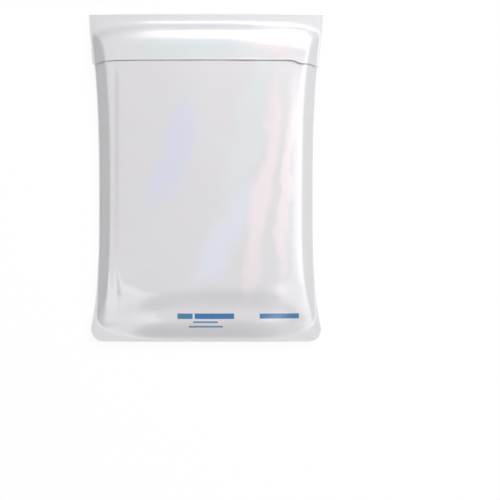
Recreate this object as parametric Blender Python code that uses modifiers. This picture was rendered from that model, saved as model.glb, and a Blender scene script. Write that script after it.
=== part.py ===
"""Poly mailer bag, filled, sealed and lying on its back: one folded and side-welded film envelope.

Metres, +Z up. The origin is on the rest plane, below the middle of the bag. X runs across the bag,
+Y towards the folded top with the flap, and the front with the flap looks up along +Z.
"""

import math

import bmesh
import bpy

MM = 0.001

# Outline, seen from above
BAG_WIDTH = 250 * MM  # of the flat film, as it still lies across the folded top
BAG_LENGTH = 348 * MM  # top fold to bottom fold
TOP_FLARE = 2.75  # how late the sides turn out towards the top: 1 would be a straight line
WAIST_DRAW_IN = 11.5 * MM  # how far the contents draw each side in
WAIST_TO_EAR = 135 * MM
EAR_FLARE = 3.2
EAR_DRAW_IN = 2.5 * MM  # how far each flat lower corner is drawn in
EAR_HEIGHT = 14 * MM  # bottom fold to the tip of a lower corner
EAR_ROUND = 12 * MM  # how far a lower corner rounds in below its tip

# Flap
FLAP_LENGTH = 52 * MM
FLAP_DRAW_IN = 4.5 * MM  # each end of the free edge, which stands out past the body
FLAP_LIP = 1.0 * MM  # how far the free edge stands off the body
FLAP_THICKNESS = 0.3 * MM  # along the top fold

# Film and its seams
EDGE_THICKNESS = 0.6 * MM  # both walls where they are pressed together
WELD_WIDTH = 2 * MM
TOP_STRIP = 5 * MM  # pressed flat along the top fold
BOTTOM_STRIP = 4 * MM  # pressed flat along the bottom fold
SEAM_HEIGHT = 19 * MM  # of the side welds above the rest plane
CORNER_DROOP = 3 * MM  # how much lower the seam hangs at the corners

# Front wall, first the slopes of the stretched film
FACE_RISE = 22 * MM  # from the welds to the face
FACE_CROWN = 2 * MM  # more in the middle of the face
SIDE_RUN = 12 * MM  # from a weld to the ridge beside it
RIDGE_HEIGHT = 21 * MM
BROW_RUN = 18 * MM  # the steep brow below the top strip
BROW_HEIGHT = 19 * MM
BROW_FLAT = 15 * MM  # how much lower the brow starts at the top corners
TOE_RUN = 16 * MM  # the steep toe above the bottom strip
TOE_HEIGHT = 11 * MM
EAR_RUN = 70 * MM  # from a flat lower corner up to the full height
EAR_RIDGE = 12 * MM  # how much higher the ear's slope starts beside the weld
TERRACE_SLOPE = 0.065  # of the film past the brow and the toe

# On them the panel that the contents press out
PANEL_INSET = 19 * MM  # from the outline at the waist
PANEL_RUN = 8 * MM  # the shallow step along each side
PANEL_STEP = 8.5 * MM  # the most that it stands out past the film's slopes
HEAD_RUN = 90 * MM  # from the brow down to the full step
SHOULDER_RUN = 32 * MM  # the arched shoulder at the foot of the panel
SHOULDER_ARCH = 49 * MM  # bottom fold to the middle of the shoulder
SHOULDER_DROP = 11 * MM  # how much lower the shoulder lies at the sides

# How softly the slopes start, round off at their top, and meet
BEND = 2.4 * MM
RIDGE_ROUND = 1.8 * MM
BROW_ROUND = 8 * MM
TOE_ROUND = 3.5 * MM
HIP_ROUND = 1.6 * MM
PANEL_BLEND = 0.2  # where two edges of the panel meet, as a share of the step

# Back wall, flat where the bag rests on it
BACK_SIDE_RUN = 17 * MM
BACK_TOP_RUN = 43 * MM
BACK_BOTTOM_RUN = 36 * MM

# Rows and columns of the cage, as shares of the zone that each one divides
SIDE_STEPS = (0.3, 0.65, 1.0, 1.45)
FACE_STEPS = (0.09, 0.4, 0.7)
TOE_STEPS = (0.34, 0.7, 1.0)
SHOULDER_STEPS = (0.22, 0.45, 0.7, 1.0, 1.5)
BODY_STEPS = (0.2, 0.4, 0.6, 0.78, 0.92)
FLAP_STEPS = (0.25, 0.48, 0.66, 0.8, 0.92)

HALF_WIDTH = BAG_WIDTH / 2
TOP = BAG_LENGTH / 2
BOTTOM = -BAG_LENGTH / 2
EAR_TIP = BOTTOM + EAR_HEIGHT
WAIST = EAR_TIP + WAIST_TO_EAR
FLAP_EDGE = TOP - FLAP_LENGTH
PANEL_HALF = HALF_WIDTH - WAIST_DRAW_IN - PANEL_INSET


def soft_min(a, b, blend):
    """The smaller of two values, rounded over where they are nearly equal."""
    return (a + b - math.sqrt((a - b) ** 2 + blend * blend)) / 2


def soft_start(distance):
    """A distance past a line, and nothing before it, with a soft bend at the line."""
    return -soft_min(-distance, 0, BEND)


def ramp(distance, run, height, roundness):
    """A straight rise to a height over a run, rounded off at its top and level after it."""
    return soft_min(distance * height / run, height, roundness) - soft_min(0, height, roundness)


def eased(share):
    """0 to 1 with a level start and a level end."""
    share = min(max(share, 0), 1)
    return share * share * (3 - 2 * share)


def body_half_width(y):
    """The outline draws in from the top fold to the waist, and spreads again to the lower corners."""
    above = (max(y - WAIST, 0) / (TOP - WAIST)) ** TOP_FLARE
    below = min(max(WAIST - y, 0) / WAIST_TO_EAR, 1) ** EAR_FLARE
    drawn_in = WAIST_DRAW_IN * (1 - above) - (WAIST_DRAW_IN - EAR_DRAW_IN) * below
    rounding = min(max(EAR_TIP - y, 0) / EAR_HEIGHT, 1)
    return HALF_WIDTH - drawn_in - EAR_ROUND * (1 - math.sqrt(1 - rounding**2))


def flap_half_width(y):
    """The flap narrows in a straight line from the top fold to its free edge."""
    return HALF_WIDTH - FLAP_DRAW_IN * (TOP - y) / FLAP_LENGTH


def seam_height(x, y):
    """The plane of the welds, which hangs a little at the four corners."""
    return SEAM_HEIGHT - CORNER_DROOP * (x / HALF_WIDTH) ** 2 * (y / TOP) ** 6


def below_brow(x, y):
    """How far a point lies below the line where the brow starts, which bends down at the corners."""
    return soft_start(TOP - TOP_STRIP - BROW_FLAT * (x / HALF_WIDTH) ** 6 - y)


def cornered(x):
    """0 across the middle, where the foot has a steep toe, to 1 towards the ears."""
    across = abs(x) / (HALF_WIDTH - EAR_DRAW_IN)
    return eased((across - 0.35) / 0.4)


def side_rise(x, y):
    """The film's slope beside a weld. The next two are alike."""
    return ramp(soft_start(body_half_width(y) - WELD_WIDTH - abs(x)), SIDE_RUN, RIDGE_HEIGHT, RIDGE_ROUND)


def head_rise(x, y):
    """A steep brow below the flat top strip, and a gentle slope past it."""
    down = below_brow(x, y)
    return ramp(down, BROW_RUN, BROW_HEIGHT, BROW_ROUND) + TERRACE_SLOPE * down


def foot_rise(x, y):
    """A steep toe and a gentle slope in the middle, and one long slope up from each flat ear."""
    up = soft_start(y - BOTTOM - BOTTOM_STRIP)
    toe = ramp(up, TOE_RUN, TOE_HEIGHT, TOE_ROUND) + TERRACE_SLOPE * up
    from_tip = soft_start(up - EAR_RIDGE * (x / (HALF_WIDTH - EAR_DRAW_IN)) ** 14)
    ear = ramp(from_tip, EAR_RUN, FACE_RISE, TOE_ROUND)
    return toe + (ear - toe) * cornered(x)


def panel_share(x, y):
    """How far inside the panel's edge a point lies, from 0 on the film around it to 1 on the panel."""
    arch = SHOULDER_ARCH - SHOULDER_DROP * eased(abs(x) / PANEL_HALF)
    share = soft_min((PANEL_HALF - abs(x)) / PANEL_RUN, below_brow(x, y) / HEAD_RUN, PANEL_BLEND)
    return eased(soft_min(share, (y - BOTTOM - arch) / SHOULDER_RUN + 0.5, PANEL_BLEND))


def front_height(x, y):
    """The front wall: the lowest of the film's slopes, the panel on it up to the face, and a crown."""
    film = soft_min(side_rise(x, y), foot_rise(x, y), HIP_ROUND)
    film = soft_min(film, head_rise(x, y), HIP_ROUND)
    step = PANEL_STEP * (1 - cornered(x) / 2) * panel_share(x, y)
    rise = max(soft_min(film + step, FACE_RISE, HIP_ROUND), 0)
    crown = max(1 - (x / PANEL_HALF) ** 2, 0) * max(1 - (y / TOP) ** 2, 0)
    return seam_height(x, y) + EDGE_THICKNESS / 2 + rise + FACE_CROWN * crown


def back_height(x, y):
    """The back wall: from the welds down to the flat that the bag rests on."""
    side = min(max(body_half_width(y) - WELD_WIDTH - abs(x), 0) / BACK_SIDE_RUN, 1)
    head = min(max(TOP - TOP_STRIP - y, 0) / BACK_TOP_RUN, 1)
    foot = min(max(y - BOTTOM - BOTTOM_STRIP, 0) / BACK_BOTTOM_RUN, 1)
    share = 1.0
    for slope in (side, head, foot):
        share *= 1 - (1 - slope) ** 2
    return (seam_height(x, y) - EDGE_THICKNESS / 2) * (1 - share)


def columns():
    """Each as (side, inset from the outline, share of the face), from the left weld to the right one."""
    half = [(0, 0), (WELD_WIDTH, 0)]
    half += [(WELD_WIDTH + step * SIDE_RUN, 0) for step in SIDE_STEPS]
    half += [(half[-1][0], step) for step in FACE_STEPS]
    left = [(-1, inset, share) for inset, share in half]
    right = [(1, inset, share) for inset, share in reversed(half)]
    return left + [(1, half[-1][0], 1)] + right


def rows():
    """Each as (y, on the flap), from the bottom fold to the top fold. The flap's free edge has two."""
    toe = BOTTOM + BOTTOM_STRIP
    shoulder = toe + TOE_RUN
    shoulder_length = SHOULDER_ARCH + SHOULDER_RUN / 2 - BOTTOM_STRIP - TOE_RUN
    body = shoulder + shoulder_length * SHOULDER_STEPS[-1]
    head = TOP - TOP_STRIP
    found = [(BOTTOM, False), (toe, False)]
    found += [(toe + step * TOE_RUN, False) for step in TOE_STEPS]
    found += [(shoulder + step * shoulder_length, False) for step in SHOULDER_STEPS]
    found += [(body + step * (FLAP_EDGE - body), False) for step in BODY_STEPS]
    found += [(FLAP_EDGE, False), (FLAP_EDGE, True)]
    found += [(FLAP_EDGE + step * (head - FLAP_EDGE), True) for step in FLAP_STEPS]
    return found + [(head, True), (TOP, True)]


def across(column, y):
    """The x of a column: a fixed distance in from the outline, or a share of the face between them."""
    side, inset, share = column
    return side * (body_half_width(y) - inset) * (1 - share)


def front_point(column, row):
    """The front wall, and past the free edge the flap on it, whose sides stand out past the body's."""
    y, on_flap = row
    x = across(column, y)
    z = front_height(x, y)
    if on_flap:
        z += FLAP_THICKNESS + (FLAP_LIP - FLAP_THICKNESS) * (TOP - y) / FLAP_LENGTH
        if column[1] == 0:
            x = column[0] * flap_half_width(y)
    return x, y, z


def back_point(column, row):
    """The back wall has no step, so its two rows below the free edge lie a little apart."""
    y, on_flap = row
    if y == FLAP_EDGE:
        y += FLAP_LIP if on_flap else -FLAP_LIP
    x = across(column, y)
    return x, y, back_height(x, y)


def is_creased(ends, last_column, last_row, lip_rows):
    """Sharp edges: the outline of each wall, the flap's free edge and the two square top corners."""
    (i, j, in_front), (k, m, also_in_front) = ends
    if in_front != also_in_front:
        return j == last_row and i in (0, last_column)
    on_side = i == k and i in (0, last_column)
    on_fold = j == m and j in (0, last_row)
    return on_side or on_fold or (in_front and j == m and j in lip_rows)


def build_bag(collection):
    """A flat grid doubled into a slab, whose two layers are shaped as the front and the back wall."""
    column_list, row_list = columns(), rows()
    last_column, last_row = len(column_list) - 1, len(row_list) - 1
    shape = bmesh.new()
    bmesh.ops.create_grid(shape, x_segments=last_column, y_segments=last_row, size=1)
    doubled = bmesh.ops.extrude_face_region(shape, geom=shape.faces[:], use_keep_orig=True)
    front = {item for item in doubled["geom"] if isinstance(item, bmesh.types.BMVert)}

    cell = {}
    for vert in shape.verts:
        i = round((vert.co.x + 1) / 2 * last_column)
        j = round((vert.co.y + 1) / 2 * last_row)
        cell[vert] = (i, j, vert in front)
        shaped = front_point if vert in front else back_point
        vert.co = shaped(column_list[i], row_list[j])

    crease = shape.edges.layers.float.new("crease_edge")
    lip_rows = [j for j, row in enumerate(row_list) if row[0] == FLAP_EDGE]
    for edge in shape.edges:
        if is_creased([cell[vert] for vert in edge.verts], last_column, last_row, lip_rows):
            edge[crease] = 1

    bmesh.ops.recalc_face_normals(shape, faces=shape.faces[:])
    mesh = bpy.data.meshes.new("mailer_bag")
    shape.to_mesh(mesh)
    shape.free()
    mesh.shade_smooth()
    mesh.materials.append(film_material())

    bag = bpy.data.objects.new("mailer_bag", mesh)
    collection.objects.link(bag)
    smooth = bag.modifiers.new("soft film", "SUBSURF")
    smooth.levels = smooth.render_levels = 1
    return bag


def film_material():
    """White co-extruded polyethylene film: opaque, with a soft gloss."""
    film = bpy.data.materials.new("white_film")
    film.use_nodes = True
    finish = film.node_tree.nodes["Principled BSDF"]
    finish.inputs["Base Color"].default_value = (0.76, 0.75, 0.76, 1)
    finish.inputs["Roughness"].default_value = 0.25
    finish.inputs["Metallic"].default_value = 0
    return film


def main():
    for leftover in list(bpy.data.objects):
        bpy.data.objects.remove(leftover)
    collection = bpy.data.collections.new("poly_mailer_bag")
    bpy.context.scene.collection.children.link(collection)
    build_bag(collection)


main()
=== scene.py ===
import math

import bpy
import numpy as np
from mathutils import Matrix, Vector


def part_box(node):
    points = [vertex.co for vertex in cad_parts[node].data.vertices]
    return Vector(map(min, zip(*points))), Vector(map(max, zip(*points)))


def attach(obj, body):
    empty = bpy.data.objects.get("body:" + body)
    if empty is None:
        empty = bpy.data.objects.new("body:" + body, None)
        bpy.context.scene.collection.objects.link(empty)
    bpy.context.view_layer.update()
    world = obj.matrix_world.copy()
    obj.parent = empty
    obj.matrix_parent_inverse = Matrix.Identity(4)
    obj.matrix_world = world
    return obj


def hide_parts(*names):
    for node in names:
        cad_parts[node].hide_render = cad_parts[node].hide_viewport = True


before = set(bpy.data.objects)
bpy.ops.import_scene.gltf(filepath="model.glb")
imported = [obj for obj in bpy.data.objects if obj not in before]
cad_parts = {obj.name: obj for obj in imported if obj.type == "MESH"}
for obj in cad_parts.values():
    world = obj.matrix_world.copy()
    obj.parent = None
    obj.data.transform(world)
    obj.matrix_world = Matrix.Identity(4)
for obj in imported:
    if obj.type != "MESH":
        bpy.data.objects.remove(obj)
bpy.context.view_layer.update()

mm = 0.001
low, high = [np.array(corner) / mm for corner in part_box("mailer_bag")]
print("frame loaded, bag box in mm:", (high - low).round(1))


# The film, in millimetres. The outline and the slopes repeat the solid's own sizes. Names with
# right are for the right side where it differs from the left, and a curve is a power.
bag = {
    # the flat outline
    "halfWidth": (high[0] - low[0]) / 2, "topFlare": 2.75, "waistDrawIn": 11.5, "waistToEar": 135.0,
    "earFlare": 3.2, "earDrawIn": 2.5, "earHeight": 14.0, "earRound": 12.0,
    # the flap, and its free edge with both ends turned down
    "flapLength": 52.8, "flapDrawIn": 4.5, "flapGap": 0.4,
    "leftEdgeDrop": 0.7, "leftEdgeStart": 96.0, "leftEdgeRun": 8.0,
    "rightEdgeDrop": 3.4, "rightEdgeStart": 94.0, "rightEdgeRun": 10.0,
    "flapLift": 1.2, "liftCurve": 6, "liftUneven": 0.35, "liftWave": 45.0, "openingDepth": 5.0,
    # the pressed strips along the edges and the level they lie at
    "weld": 1.4, "topStrip": 9.8, "bottomStrip": 4.0, "seamHeight": 19.0,
    "cornerDroop": 3.0, "droopCurve": 6, "bend": 2.4, "topBend": 3.2, "pressedBend": 0.2,
    # the slopes up from the welds
    "faceRise": 22.0, "crown": 2.0, "sideRun": 12.0, "ridgeHeight": 21.0, "ridgeRound": 1.8,
    "rightSideRun": 7.3, "rightRidgeHeight": 20.1, "rightRidgeRound": 13.0, "sidesBlend": 30.0,
    # the slope down to the top fold
    "browHeight": 14.5, "browRun": 8.0, "browRound": 21.0, "browFlat": 15.0, "browCurve": 6,
    "rightBrowRun": 12.5, "rightBrowStart": 20.0, "rightBrowBlend": 60.0, "rightBrowCurve": 10,
    # the toe, the instep behind it and the ears at the bottom fold
    "settle": 0.065, "toeHeight": 2.25, "toeRun": 7.5, "toeRound": 2.0,
    "instepHeight": 8.75, "instepRun": 17.5,
    "earRun": 54.0, "earRidge": 20.0, "earCurve": 8, "earBlend": 3.5,
    "cornerStart": 0.35, "cornerRun": 0.4, "hip": 1.6, "earHip": 8.0,
    # the panel that the contents press out, and its arched shoulder
    "stepHeight": 8.5, "cornerFade": 0.5, "footFade": 0.3, "footFadeEnd": 75.0, "footFadeRun": 35.0,
    "panelHalf": 94.5, "panelRun": 8.0, "rightPanelHalf": 106.0, "rightPanelRun": 40.0,
    "panelBlend": 0.2, "headStart": 38.0, "headRun": 40.0,
    "shoulderArch": 49.0, "shoulderRun": 32.0,
    "leftDrop": 11.0, "leftDropStart": 15.0, "leftDropRun": 70.0,
    "rightDrop": 3.0, "rightDropRun": 85.0,
    # the back
    "backSideRun": 17.0, "backTopRun": 43.0, "backBottomRun": 36.0, "restSink": 0.01,
    # the film's wall and its own unevenness
    "filmThickness": 0.12, "weldGap": 0.13,
    "frontSwell": 0.3, "swellWaves": (80.0, 110.0), "swellInset": 20.0,
    "headClear": 20.0, "footClear": 10.0, "clearRun": 30.0,
    "frontFolds": 0.16, "backFolds": 0.7, "foldWaves": (90.0, 11.0),
    "foldStart": 6.0, "foldReach": 34.0, "foldEnd": 14.0,
    "frontSeed": 3, "backSeed": 11, "flapSeed": 5,
    # the grid
    "columns": 131, "columnCrowding": 0.85, "flapRows": 46, "backRows": 96, "backCrowding": 0.6,
    "footRows": 62, "footReach": 62.0, "bodyRows": 116, "lipInset": 2.0, "lipRows": 14,
    "turnRows": 5,
}
top, bottom = high[1], low[1]
earTip = bottom + bag["earHeight"]
waist = earTip + bag["waistToEar"]
flapEdge = top - bag["flapLength"]


# The smaller of two lengths, rounded over where they are nearly equal: half of their sum less the
# root of their difference squared plus the blend squared. The larger takes the root's other sign.
def softMin(a, b, blend):
    return (a + b - np.sqrt((a - b) ** 2 + blend * blend)) / 2


def softMax(a, b, blend):
    return (a + b + np.sqrt((a - b) ** 2 + blend * blend)) / 2


# A straight rise to a height over a run, rounded off at its top and level after it.
def ramp(distance, run, height, roundness):
    return softMin(distance * height / run, height, roundness) - softMin(0, height, roundness)


# The distance beyond a flat strip along an edge: 0 at the edge, and softly bent at the strip's end.
# It is the larger of 0 and what lies beyond the strip, less that at the edge itself.
def bentUp(fromEdge, strip, bend):
    return softMax(fromEdge - strip, 0, bend) - softMax(-strip, 0, bend)


# 0 to 1 with a level start and a level end: three squares less two cubes.
def eased(share):
    share = np.clip(share, 0, 1)
    return share * share * (3 - 2 * share)


# The outline draws in from the top fold to the waist as a power of the height, spreads again to the
# ears as another power, and rounds in below their tips as a quarter ellipse.
def bodyHalfWidth(y):
    above = (np.clip(y - waist, 0, None) / (top - waist)) ** bag["topFlare"]
    below = np.clip((waist - y) / bag["waistToEar"], 0, 1) ** bag["earFlare"]
    drawnIn = bag["waistDrawIn"] * (1 - above) - (bag["waistDrawIn"] - bag["earDrawIn"]) * below
    rounding = np.clip((earTip - y) / bag["earHeight"], 0, 1)
    return bag["halfWidth"] - drawnIn - bag["earRound"] * (1 - np.sqrt(1 - rounding**2))


# The flap narrows in a straight line from the top fold to its free edge.
def flapHalfWidth(y):
    return bag["halfWidth"] - bag["flapDrawIn"] * (top - y) / bag["flapLength"]


# The flap's free edge, straight in the middle and turned down at both ends, where it is pulled over
# the sides.
def flapEdgeAt(x):
    rightEnd = eased((x - bag["rightEdgeStart"]) / bag["rightEdgeRun"])
    leftEnd = eased((-x - bag["leftEdgeStart"]) / bag["leftEdgeRun"])
    return flapEdge - bag["rightEdgeDrop"] * rightEnd - bag["leftEdgeDrop"] * leftEnd


# The level of the welds, which hangs as a power of the distance towards the four corners.
def seamHeight(x, y):
    droop = bag["cornerDroop"] * (x / bag["halfWidth"]) ** 2 * (y / top) ** bag["droopCurve"]
    return bag["seamHeight"] - droop


# What the film spans: the lowest of the slopes from the welds, from the bottom fold with its toe
# and flat ears, and from the top fold with its brow. On it the contents press out a panel, whose
# edge is a shallow step at the sides and an arched shoulder at the foot.
def frontRise(x, y):
    across = np.clip(np.abs(x) / (bag["halfWidth"] - bag["earDrawIn"]), 0, 1)
    right = eased((x + bag["sidesBlend"]) / (2 * bag["sidesBlend"]))
    corner = eased((across - bag["cornerStart"]) / bag["cornerRun"])

    fromWeld = bentUp(bodyHalfWidth(y) - np.abs(x), bag["weld"], bag["bend"])
    leftSide = ramp(fromWeld, bag["sideRun"], bag["ridgeHeight"], bag["ridgeRound"])
    rightSide = ramp(fromWeld, bag["rightSideRun"], bag["rightRidgeHeight"], bag["rightRidgeRound"])
    side = leftSide + (rightSide - leftSide) * right

    up = bentUp(y - bottom, bag["bottomStrip"], bag["bend"])
    toe = ramp(up, bag["toeRun"], bag["toeHeight"], bag["toeRound"])
    instep = ramp(up, bag["instepRun"], bag["instepHeight"], bag["toeRound"])
    toe = toe + instep + bag["settle"] * up
    fromTip = softMax(up - bag["earRidge"] * across ** bag["earCurve"], 0, bag["bend"])
    ear = ramp(fromTip, bag["earRun"], bag["faceRise"], bag["earBlend"])
    foot = toe + (ear - toe) * corner
    nearFoot = eased((bag["footFadeEnd"] - up) / bag["footFadeRun"])
    hip = bag["hip"] + (bag["earHip"] - bag["hip"]) * corner * nearFoot

    browCurve = bag["browCurve"] + (bag["rightBrowCurve"] - bag["browCurve"]) * right
    late = bag["browFlat"] * across**browCurve
    down = softMax(top - bag["topStrip"] - late - y, 0, bag["topBend"])
    longer = eased((x - bag["rightBrowStart"]) / bag["rightBrowBlend"])
    browRun = bag["browRun"] + (bag["rightBrowRun"] - bag["browRun"]) * longer
    head = ramp(down, browRun, bag["browHeight"], bag["browRound"]) + bag["settle"] * down
    film = softMin(softMin(side, foot, hip), head, bag["hip"])

    leftDrop = bag["leftDrop"] * eased((-x - bag["leftDropStart"]) / bag["leftDropRun"])
    arch = bag["shoulderArch"] - leftDrop - bag["rightDrop"] * eased(x / bag["rightDropRun"])
    panelHalf = bag["panelHalf"] + (bag["rightPanelHalf"] - bag["panelHalf"]) * right
    panelRun = bag["panelRun"] + (bag["rightPanelRun"] - bag["panelRun"]) * right
    fromHead = (down - bag["headStart"]) / bag["headRun"]
    fromShoulder = (y - bottom - arch) / bag["shoulderRun"] + 0.5
    panel = softMin((panelHalf - np.abs(x)) / panelRun, fromHead, bag["panelBlend"])
    panel = softMin(panel, fromShoulder, bag["panelBlend"])
    lost = corner * (bag["cornerFade"] + bag["footFade"] * nearFoot)
    step = bag["stepHeight"] * (1 - lost) * eased(panel)
    return softMax(softMin(film + step, bag["faceRise"], bag["hip"]), 0, bag["pressedBend"])


# Soft ripples from about -1 to 1: twice the mean of nine plane waves with seeded bearings and
# phases, of the given lengths along X and Y.
def ripples(x, y, lengthX, lengthY, seed):
    bearing, phase = np.random.default_rng(seed).uniform(0, 2 * math.pi, (2, 9))
    waves = np.sin(2 * math.pi * (x[..., None] * np.cos(bearing) / lengthX
                                  + y[..., None] * np.sin(bearing) / lengthY) + phase)
    return waves.mean(axis=-1) * 2


# The film's own unevenness: a broad swell, and short folds that run in from the welds and fade out
# within the pulled band along them.
def unevenness(x, y, swell, folds, seed):
    inward = np.clip(bodyHalfWidth(y) - bag["weld"] - np.abs(x), 0, None)
    band = eased(inward / bag["foldStart"]) * eased((bag["foldReach"] - inward) / bag["foldEnd"])
    headClear = eased((top - bag["headClear"] - y) / bag["clearRun"])
    footClear = eased((y - bottom - bag["footClear"]) / bag["clearRun"])
    broad = eased(inward / bag["swellInset"]) * headClear * footClear
    return (swell * broad * ripples(x, y, *bag["swellWaves"], seed)
            + folds * band * ripples(x, y, *bag["foldWaves"], seed + 1))


# The front wall: the seam level, the rise, a square-law crown that falls to nothing at the edges,
# and the unevenness.
def frontHeight(x, y):
    crown = np.clip(1 - (x / bag["panelHalf"]) ** 2, 0, None) * np.clip(1 - (y / top) ** 2, 0, None)
    uneven = unevenness(x, y, bag["frontSwell"], bag["frontFolds"], bag["frontSeed"])
    return seamHeight(x, y) + bag["weldGap"] + frontRise(x, y) + bag["crown"] * crown + uneven


# The back wall: from the welds down to the flat that the bag rests on, one square-law slope per
# side, with folds that are deepest half-way down. The flat lies a hair below the floor, so that
# the two never share a plane.
def backHeight(x, y):
    slopes = (
        (bodyHalfWidth(y) - bag["weld"] - np.abs(x)) / bag["backSideRun"],
        (top - bag["topStrip"] - y) / bag["backTopRun"],
        (y - bottom - bag["bottomStrip"]) / bag["backBottomRun"],
    )
    share = 1.0
    for slope in slopes:
        share = share * (1 - (1 - np.clip(slope, 0, 1)) ** 2)
    folds = np.abs(unevenness(x, y, 0, bag["backFolds"], bag["backSeed"]))
    uneven = folds * eased(2 * share) * eased(2 - 2 * share)
    return (seamHeight(x, y) - bag["weldGap"]) * (1 - share) + uneven - bag["restSink"]


# Values from -1 to 1, crowded towards both ends by a sine.
def crowded(count, crowding):
    even = np.linspace(-1, 1, count)
    return (1 - crowding) * even + crowding * np.sin(even * math.pi / 2)


# Rows of a half circle from one wall's last row to the next one's first, bulging along Y.
def halfTurn(start, end, side):
    angle = np.linspace(0, math.pi, bag["turnRows"] + 2)[1:-1, None]
    middle, reach = (start + end) / 2, (start - end) / 2
    turn = middle[None] + reach[None] * np.cos(angle)[..., None]
    turn[..., 1] += side * np.abs(reach[None, :, 2]) * np.sin(angle)
    return turn


# One strip of film, folded: from the flap's free edge up over the top fold, down the back, round
# the bottom fold and up the front to the opening under the flap. Each row is a share of its own
# wall.
def filmPoints():
    u = crowded(bag["columns"], bag["columnCrowding"])[None, :]
    ones = np.ones_like(u)

    flapShare = np.linspace(1, 0, bag["flapRows"])[:, None]
    flapY = top - flapShare * (top - flapEdgeAt(u * bag["halfWidth"]))
    flapX = flapHalfWidth(flapY) * u
    onBody = np.clip(flapX, -bodyHalfWidth(flapY), bodyHalfWidth(flapY))
    free = (top - flapY) / bag["flapLength"]
    wave = ripples(flapX, 0 * flapX, bag["liftWave"], 1, bag["flapSeed"])
    lift = bag["flapLift"] * (1 + bag["liftUneven"] * wave)
    flapZ = frontHeight(onBody, flapY) + bag["flapGap"] + lift * free ** bag["liftCurve"]
    flap = np.stack([flapX, flapY, flapZ], -1)

    backY = (crowded(bag["backRows"], bag["backCrowding"]) * -top)[:, None] * ones
    backX = bodyHalfWidth(backY) * u
    back = np.stack([backX, backY, backHeight(backX, backY)], -1)

    footEnd, lip = bottom + bag["footReach"], flapEdge - bag["lipInset"]
    footY = np.linspace(bottom, footEnd, bag["footRows"])[:-1]
    bodyY = np.linspace(footEnd, lip, bag["bodyRows"])[:-1]
    lipY = np.linspace(lip, top - bag["openingDepth"], bag["lipRows"])
    frontY = np.concatenate([footY, bodyY, lipY])[:, None] * ones
    frontX = bodyHalfWidth(frontY) * u
    front = np.stack([frontX, frontY, frontHeight(frontX, frontY)], -1)

    topFold = halfTurn(flap[-1], back[0], 1)
    bottomFold = halfTurn(back[-1], front[0], -1)
    return np.concatenate([flap, topFold, back, bottomFold, front])


# A grid of points, rows by columns, as a mesh of quads.
def gridPiece(name, points, material):
    rows, columns = points.shape[:2]
    index = np.arange(rows * columns).reshape(rows, columns)
    quads = np.stack([index[:-1, :-1], index[:-1, 1:], index[1:, 1:], index[1:, :-1]], -1)
    mesh = bpy.data.meshes.new(name)
    mesh.from_pydata((points.reshape(-1, 3) * mm).tolist(), [], quads.reshape(-1, 4).tolist())
    mesh.shade_smooth()
    mesh.materials.append(material)
    piece = bpy.data.objects.new(name, mesh)
    bpy.context.scene.collection.objects.link(piece)
    return piece


# An sRGB hex value in linear light, by the standard's own curve.
def linear(hexColour):
    value = np.array([int(hexColour[i:i + 2], 16) / 255 for i in (1, 3, 5)])
    value = np.where(value <= 0.04045, value / 12.92, ((value + 0.055) / 1.055) ** 2.4)
    return (*value.tolist(), 1)


# A node of a tree, with each input set to a value or linked to another node's output. An input goes
# by its name, or by its number as in i0, i1 and i2.
def node(tree, kind, settings=None, **inputs):
    made = tree.nodes.new(kind)
    for name, value in (settings or {}).items():
        setattr(made, name, value)
    for name, value in inputs.items():
        numbered = name[0] == "i" and name[1:].isdigit()
        socket = made.inputs[int(name[1:]) if numbered else name]
        if isinstance(value, bpy.types.NodeSocket):
            tree.links.new(value, socket)
        else:
            socket.default_value = value
    return made


# A share for rays of sight and mirrored rays, and nothing for the rest.
def seen(tree, share):
    path = node(tree, "ShaderNodeLightPath")
    mirrored = node(tree, "ShaderNodeMath", {"operation": "MAXIMUM"},
                    i0=path.outputs["Is Glossy Ray"], i1=path.outputs["Is Transmission Ray"])
    either = node(tree, "ShaderNodeMath", {"operation": "MAXIMUM"},
                  i0=path.outputs["Is Camera Ray"], i1=mirrored.outputs[0])
    return node(tree, "ShaderNodeMath", {"operation": "MULTIPLY"},
                i0=either.outputs[0], i1=share).outputs[0]


# The film's look. Lengths are in millimetres, and the painted sheen and the print are fields of
# colour placed from the middle of the bag. The real grain is finer than it shows here.
filmLook = {
    "colour": "#e4e2e5", "roughness": (0.29, 0.37), "ior": 1.51, "coat": 0.5, "coatRoughness": 0.12,
    "mottle": 28.0, "mottleShade": 0.965, "dieLinePitch": 3.5, "dieLineLength": 220.0,
    "dieLineDepth": 20.0, "dieLineShade": (0.985, 1.015), "grain": 1.1,
    "bumpHeight": 0.09, "dieLineRelief": 0.25, "grainRelief": 0.08,
    "inner": "#1b1b1d", "innerRoughness": 0.42, "innerMottle": 1.5,
    # middle, reach and turn in degrees of each patch of painted sheen, its colour and its share;
    # the lavender and mint ones are painted iridescent sheen, the pale pink ones painted highlight
    "paintedSheen": (
        ((-33, 24), (28, 92), -22, "#dcdef0", 0.8),
        ((20, -66), (24, 90), -28, "#e4e8f7", 0.7),
        ((42, 40), (16, 120), -14, "#e1e8ea", 0.65),
        ((60, -12), (12, 165), -6, "#f6eaee", 0.8),
        ((86, -12), (10, 150), -3, "#faeef3", 0.8),
        ((-5, 134), (90, 17), 0, "#dde6e7", 0.8),
        ((72, 134), (30, 15), 0, "#efe2e7", 0.7),
    ),
    "sheenFull": 0.7, "sheenDepth": 10000.0, "driftLength": 50.0, "driftReach": 40.0,
    # middle and size of each plain printed bar and its ink
    "print": (
        ((-21.4, -146.2), (16.0, 5.8), "#2a739c"),
        ((9.4, -146.2), (41.4, 5.8), "#0868a8"),
        ((0.0, -152.5), (26.0, 1.8), "#5a86ae"),
        ((0.3, -157.5), (36.0, 1.8), "#5a86ae"),
        ((77.8, -146.2), (41.6, 5.4), "#1f6a9c"),
    ),
    "printAbove": 19.5,
}
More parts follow.
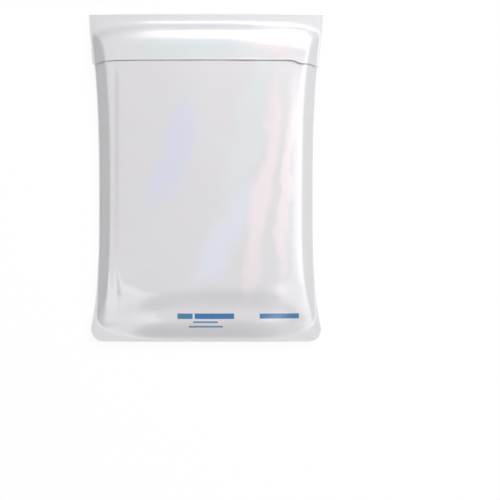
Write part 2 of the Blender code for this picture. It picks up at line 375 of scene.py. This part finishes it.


# White polyethylene film, blown as a tube: a soft gloss with faint mottle, die lines across the bag
# and a fine grain, with sheen and highlight painted into its colour as soft tints and, on the front
# wall alone, the printed bars.
def filmMaterial():
    film = bpy.data.materials.new("blownPolyethyleneFilm")
    film.use_nodes = True
    tree = film.node_tree
    shader = tree.nodes["Principled BSDF"]
    place = node(tree, "ShaderNodeTexCoord").outputs["Object"]

    mottle = node(tree, "ShaderNodeTexNoise",
                  Vector=place, Scale=1 / (filmLook["mottle"] * mm), Detail=3.0)
    lineSize = (filmLook["dieLineLength"], filmLook["dieLinePitch"], filmLook["dieLineDepth"])
    stretched = node(tree, "ShaderNodeMapping",
                     Vector=place, Scale=[1 / (size * mm) for size in lineSize])
    dieLines = node(tree, "ShaderNodeTexNoise", Vector=stretched.outputs[0], Scale=1.0, Detail=2.0)
    grain = node(tree, "ShaderNodeTexNoise",
                 Vector=place, Scale=1 / (filmLook["grain"] * mm), Detail=1.0)

    base = linear(filmLook["colour"])
    darker = tuple(filmLook["mottleShade"] * c for c in base[:3]) + (1,)
    cloudy = node(tree, "ShaderNodeMix", {"data_type": "RGBA"},
                  i0=mottle.outputs[0], i6=darker, i7=base)
    lined = node(tree, "ShaderNodeMapRange", Value=dieLines.outputs[0])
    lined.inputs["To Min"].default_value = filmLook["dieLineShade"][0]
    lined.inputs["To Max"].default_value = filmLook["dieLineShade"][1]
    colour = node(tree, "ShaderNodeVectorMath", {"operation": "MULTIPLY"},
                  i0=cloudy.outputs[2], i1=lined.outputs[0]).outputs[0]

    # noise has a mean of a half, so the drift moves a field by half its reach on average
    driftReach, meanDrift = filmLook["driftReach"] * mm, filmLook["driftReach"] / 2
    drift = node(tree, "ShaderNodeTexNoise",
                 Vector=place, Scale=1 / (filmLook["driftLength"] * mm), Detail=3.0)
    bent = node(tree, "ShaderNodeVectorMath", {"operation": "MULTIPLY_ADD"},
                i0=drift.outputs[1], i1=(driftReach, driftReach, 0), i2=place)
    # painted sheen and highlight: each patch mixes in a colour that stands in for the film's
    # reflections
    for middle, reach, turn, sheenColour, share in filmLook["paintedSheen"]:
        field = node(tree, "ShaderNodeMapping", {"vector_type": "TEXTURE"}, Vector=bent.outputs[0],
                     Location=((middle[0] + meanDrift) * mm, (middle[1] + meanDrift) * mm, 0),
                     Rotation=(0, 0, math.radians(turn)),
                     Scale=(reach[0] * mm, reach[1] * mm, filmLook["sheenDepth"] * mm))
        ball = node(tree, "ShaderNodeTexGradient", {"gradient_type": "SPHERICAL"},
                    Vector=field.outputs[0])
        soft = node(tree, "ShaderNodeMapRange", {"interpolation_type": "SMOOTHSTEP"},
                    Value=ball.outputs[1])
        soft.inputs["From Max"].default_value = filmLook["sheenFull"]
        soft.inputs["To Max"].default_value = share
        colour = node(tree, "ShaderNodeMix", {"data_type": "RGBA"},
                      i0=soft.outputs[0], i6=colour, i7=linear(sheenColour)).outputs[2]

    height = node(tree, "ShaderNodeSeparateXYZ", Vector=place).outputs[2]
    front = node(tree, "ShaderNodeMath", {"operation": "GREATER_THAN"},
                 i0=height, i1=filmLook["printAbove"] * mm).outputs[0]
    for middle, size, ink in filmLook["print"]:
        away = node(tree, "ShaderNodeVectorMath", {"operation": "SUBTRACT"},
                    i0=place, i1=(middle[0] * mm, middle[1] * mm, 0))
        away = node(tree, "ShaderNodeVectorMath", {"operation": "ABSOLUTE"}, i0=away.outputs[0])
        away = node(tree, "ShaderNodeSeparateXYZ", Vector=away.outputs[0])
        wide, tall = [node(tree, "ShaderNodeMath", {"operation": "LESS_THAN"},
                           i0=away.outputs[axis], i1=size[axis] / 2 * mm) for axis in (0, 1)]
        both = node(tree, "ShaderNodeMath", {"operation": "MULTIPLY"},
                    i0=wide.outputs[0], i1=tall.outputs[0])
        both = node(tree, "ShaderNodeMath", {"operation": "MULTIPLY"}, i0=both.outputs[0], i1=front)
        colour = node(tree, "ShaderNodeMix", {"data_type": "RGBA"},
                      i0=both.outputs[0], i6=colour, i7=linear(ink)).outputs[2]
    tree.links.new(colour, shader.inputs["Base Color"])

    polish = node(tree, "ShaderNodeMapRange", Value=mottle.outputs[0])
    polish.inputs["To Min"].default_value = filmLook["roughness"][0]
    polish.inputs["To Max"].default_value = filmLook["roughness"][1]
    tree.links.new(polish.outputs[0], shader.inputs["Roughness"])
    relief = node(tree, "ShaderNodeMath", {"operation": "MULTIPLY_ADD"},
                  i0=dieLines.outputs[0], i1=filmLook["dieLineRelief"], i2=mottle.outputs[0])
    relief = node(tree, "ShaderNodeMath", {"operation": "MULTIPLY_ADD"},
                  i0=grain.outputs[0], i1=filmLook["grainRelief"], i2=relief.outputs[0])
    bump = node(tree, "ShaderNodeBump",
                Height=relief.outputs[0], Distance=filmLook["bumpHeight"] * mm)
    tree.links.new(bump.outputs[0], shader.inputs["Normal"])
    shader.inputs["IOR"].default_value = filmLook["ior"]
    shader.inputs["Coat Weight"].default_value = filmLook["coat"]
    shader.inputs["Coat Roughness"].default_value = filmLook["coatRoughness"]
    return film


# The inner layer of the same blown film, black so that nothing shows through: duller, with the same
# faint mottle.
def innerMaterial():
    inner = bpy.data.materials.new("blackInnerLayer")
    inner.use_nodes = True
    tree = inner.node_tree
    shader = tree.nodes["Principled BSDF"]
    place = node(tree, "ShaderNodeTexCoord").outputs["Object"]
    cloud = node(tree, "ShaderNodeTexNoise",
                 Vector=place, Scale=1 / (filmLook["mottle"] * mm), Detail=3.0)
    black = linear(filmLook["inner"])
    lighter = tuple(filmLook["innerMottle"] * c for c in black[:3]) + (1,)
    colour = node(tree, "ShaderNodeMix", {"data_type": "RGBA"},
                  i0=cloud.outputs[0], i6=black, i7=lighter)
    tree.links.new(colour.outputs[2], shader.inputs["Base Color"])
    shader.inputs["Roughness"].default_value = filmLook["innerRoughness"]
    return inner


mailerFilm = gridPiece("mailerFilm", filmPoints(), filmMaterial())
mailerFilm.data.materials.append(innerMaterial())
wall = mailerFilm.modifiers.new("film thickness", "SOLIDIFY")
wall.thickness = bag["filmThickness"] * mm
wall.offset = -1
wall.material_offset = 1
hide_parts("mailer_bag")
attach(mailerFilm, "root")
print("film folded:", len(mailerFilm.data.polygons), "quads")


# The floor, half its side in metres. It keeps the bag's soft shadow under a white glow that only
# sight and reflections meet.
floorLook = {"half": 20.0, "colour": "#f9f9f9", "roughness": 0.9, "glowShare": 0.9, "glow": 1.02}
half = floorLook["half"]
corners = [(-half, -half, 0), (half, -half, 0), (half, half, 0), (-half, half, 0)]
floorMesh = bpy.data.meshes.new("floor")
floorMesh.from_pydata(corners, [], [(0, 1, 2, 3)])
floor = bpy.data.objects.new("floor", floorMesh)
bpy.context.scene.collection.objects.link(floor)
floorPaint = bpy.data.materials.new("paleFloor")
floorPaint.use_nodes = True
paint = floorPaint.node_tree
matt = paint.nodes["Principled BSDF"]
matt.inputs["Base Color"].default_value = linear(floorLook["colour"])
matt.inputs["Roughness"].default_value = floorLook["roughness"]
sight = seen(paint, floorLook["glowShare"])
glow = node(paint, "ShaderNodeEmission", Color=(1, 1, 1, 1), Strength=floorLook["glow"])
whitened = node(paint, "ShaderNodeMixShader", i0=sight, i1=matt.outputs[0], i2=glow.outputs[0])
paint.links.new(whitened.outputs[0], paint.nodes["Material Output"].inputs["Surface"])
floorMesh.materials.append(floorPaint)
print("floor laid:", 2 * half, "m square")


# The camera looks straight down: the size of a pixel in millimetres at the welds, the frame in
# pixels, the pixel of the bag's middle, the distance above the welds and the sensor in millimetres.
view = {"pixel": 1.064, "frame": 500, "bagPixel": (206, 178), "distance": 1000.0, "sensor": 36.0}
camera = bpy.data.objects.new("camera", bpy.data.cameras.new("camera"))
bpy.context.scene.collection.objects.link(camera)
bpy.context.scene.camera = camera
halfFrame = view["frame"] / 2
camera.data.sensor_width = view["sensor"]
camera.data.lens = view["sensor"] / 2 * view["distance"] / (halfFrame * view["pixel"])
camera.data.clip_end = half
camera.location = Vector((
    (halfFrame - view["bagPixel"][0]) * view["pixel"],
    (view["bagPixel"][1] - halfFrame) * view["pixel"],
    bag["seamHeight"] + view["distance"],
)) * mm
print("camera set, lens in mm:", round(camera.data.lens, 1))


# The lamps: place, height of the point they face and size in metres, watts, and the rays that don't
# meet them. The softboxes light the bag, and the panels only show in its gloss.
lamps = {
    "keySoftbox": ((0.75, 0.75, 2.0), 0, (1.8, 1.6), 37.4, "visible_glossy"),
    "overheadSoftbox": ((0, -0.5, 2.0), 0, (1.6, 1.6), 9.0, "visible_glossy"),
    "rightPanel": ((0.815, -0.1, 0.81), 0.03, (2.2, 0.76), 20.8, "visible_diffuse"),
    "topPanel": ((0.18, 1.15, 0.42), 0.03, (0.86, 0.85), 11.8, "visible_diffuse"),
    "leftPanel": ((-0.67, -0.57, 0.8), 0.03, (1.05, 0.64), 6.4, "visible_diffuse"),
}
for name, (place, faced, size, watts, unmet) in lamps.items():
    lamp = bpy.data.lights.new(name, "AREA")
    lamp.shape = "RECTANGLE"
    lamp.size, lamp.size_y = size
    lamp.energy = watts
    box = bpy.data.objects.new(name, lamp)
    bpy.context.scene.collection.objects.link(box)
    box.location = place
    box.rotation_mode = "QUATERNION"
    box.rotation_quaternion = (Vector((0, 0, faced)) - Vector(place)).to_track_quat("-Z", "Y")
    setattr(box, unmet, False)
print("lamps hung:", len(lamps))

# The world fills the shadows softly, and is white to the eye and in reflections.
worldLook = {"fill": 0.15, "seen": 0.85}
world = bpy.data.worlds.new("studio")
bpy.context.scene.world = world
world.use_nodes = True
sky = world.node_tree
strength = node(sky, "ShaderNodeMath", {"operation": "ADD"},
                i0=seen(sky, worldLook["seen"]), i1=worldLook["fill"])
sky.nodes["Background"].inputs["Color"].default_value = (1, 1, 1, 1)
sky.links.new(strength.outputs[0], sky.nodes["Background"].inputs["Strength"])
bpy.context.scene.view_settings.view_transform = "Standard"
print("world set")
